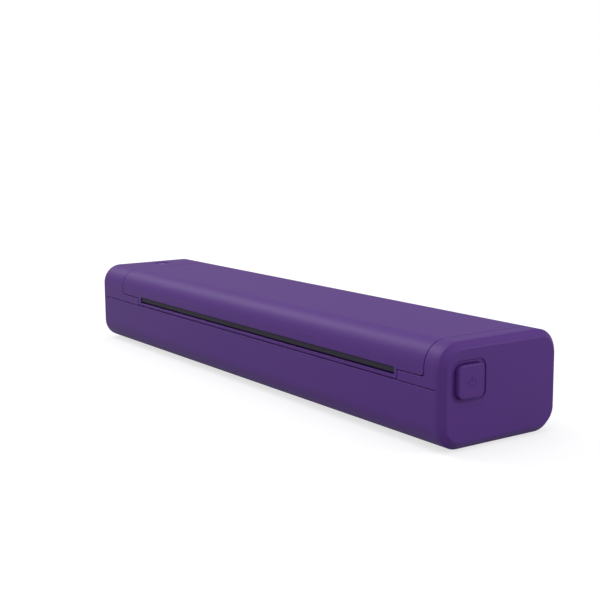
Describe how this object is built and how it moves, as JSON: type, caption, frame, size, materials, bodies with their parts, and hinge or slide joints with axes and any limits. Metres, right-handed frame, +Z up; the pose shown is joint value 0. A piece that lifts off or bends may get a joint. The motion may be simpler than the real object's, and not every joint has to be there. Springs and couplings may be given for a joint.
{
  "type": "portable thermal stencil printer",
  "caption": "Slim bar-shaped thermal stencil printer with a hinged lid over a platen roller and print head, a front exit slot and a square power button on its end",
  "frame": {"origin": "bottom centre of the printer's box, on the surface that the feet stand on", "axes": "+X along the length towards the power button, -Y out of the exit slot, +Z up"},
  "size_m": [0.3016, 0.0632, 0.043],
  "materials": {
    "case": "satin moulded ABS",
    "lid": "satin moulded ABS",
    "button": "satin moulded ABS",
    "black_plastic": "fine spark texture",
    "white_plastic": "moulded acetal",
    "steel": "ground",
    "sheet_steel": "zinc plated sheet",
    "aluminium": "extruded",
    "ceramic": "glazed alumina",
    "rubber": "ground silicone",
    "foot_rubber": "moulded",
    "board": "solder mask",
    "component": "moulded epoxy",
    "cell_wrap": "shrink film",
    "lens": "frosted acrylic",
    "led": "moulded",
    "brass": "turned"
  },
  "bodies": {
    "base": {"bottom_housing": "case", "top_frame": "case", "left_end_cap": "case", "right_end_cap": "case", "rubber_feet": "foot_rubber", "case_screws": "steel", "chassis": "sheet_steel", "chassis_screws": "steel", "stepper_motor": "sheet_steel", "motor_screws": "steel", "gear_axles": "steel", "axle_clips": "steel", "head_pivot_pin": "steel", "head_springs": "steel", "hinge_pins": "steel", "tact_switch": "component", "button_board": "board", "main_board": "board", "main_board_parts": "component", "charge_board": "board", "board_screws": "steel", "usb_socket": "steel", "indicator_led": "led", "indicator_lens": "lens", "paper_sensor": "black_plastic", "battery_cells": "cell_wrap", "battery_cradle": "black_plastic"},
    "cover": {"lid": "lid", "lid_liner": "black_plastic", "liner_screws": "steel", "platen_bushes": "white_plastic"},
    "platen": {"platen_shaft": "steel", "platen_roller": "rubber", "platen_gear": "white_plastic", "platen_clip": "steel"},
    "idler": {"idler_gear": "white_plastic"},
    "reduction": {"reduction_gear": "white_plastic"},
    "rotor": {"motor_pinion": "brass", "motor_shaft": "steel"},
    "head": {"head_heatsink": "aluminium", "thermal_head": "ceramic", "head_cover": "black_plastic"},
    "button": {"power_button": "button", "switch_plunger": "component"}
  },
  "joints": [
    {"name": "lid_hinge", "type": "hinge", "parent": "base", "child": "cover", "pos_m": [0, 0.02765, 0.031], "axis": [-1, 0, 0], "range_deg": [0, 95]},
    {"name": "platen_spin", "type": "hinge", "parent": "cover", "child": "platen", "pos_m": [0, -0.014, 0.0338], "axis": [1, 0, 0], "continuous": true},
    {"name": "idler_spin", "type": "hinge", "parent": "base", "child": "idler", "pos_m": [-0.115, -0.014, 0.0202], "axis": [1, 0, 0], "continuous": true},
    {"name": "reduction_spin", "type": "hinge", "parent": "base", "child": "reduction", "pos_m": [-0.113, -0.00475, 0.0132], "axis": [1, 0, 0], "continuous": true},
    {"name": "motor_spin", "type": "hinge", "parent": "base", "child": "rotor", "pos_m": [-0.11, 0.00735, 0.0134], "axis": [1, 0, 0], "continuous": true},
    {"name": "head_pivot", "type": "hinge", "parent": "base", "child": "head", "pos_m": [0, -0.005, 0.0196], "axis": [1, 0, 0], "range_deg": [0, 2.5], "stiffness_Nm_per_rad": 4, "springref_deg": -3.44, "deforming": ["head_springs"]},
    {"name": "power_button_press", "type": "slide", "parent": "base", "child": "button", "axis": [-1, 0, 0], "range_m": [0, 0.0006], "stiffness_N_per_m": 2500, "springref_m": -0.0002}
  ],
  "couplings": [
    {"joint": "idler_spin", "follows": "platen_spin", "ratio": -0.8},
    {"joint": "reduction_spin", "follows": "platen_spin", "ratio": 1.5},
    {"joint": "motor_spin", "follows": "platen_spin", "ratio": -4.5}
  ]
}
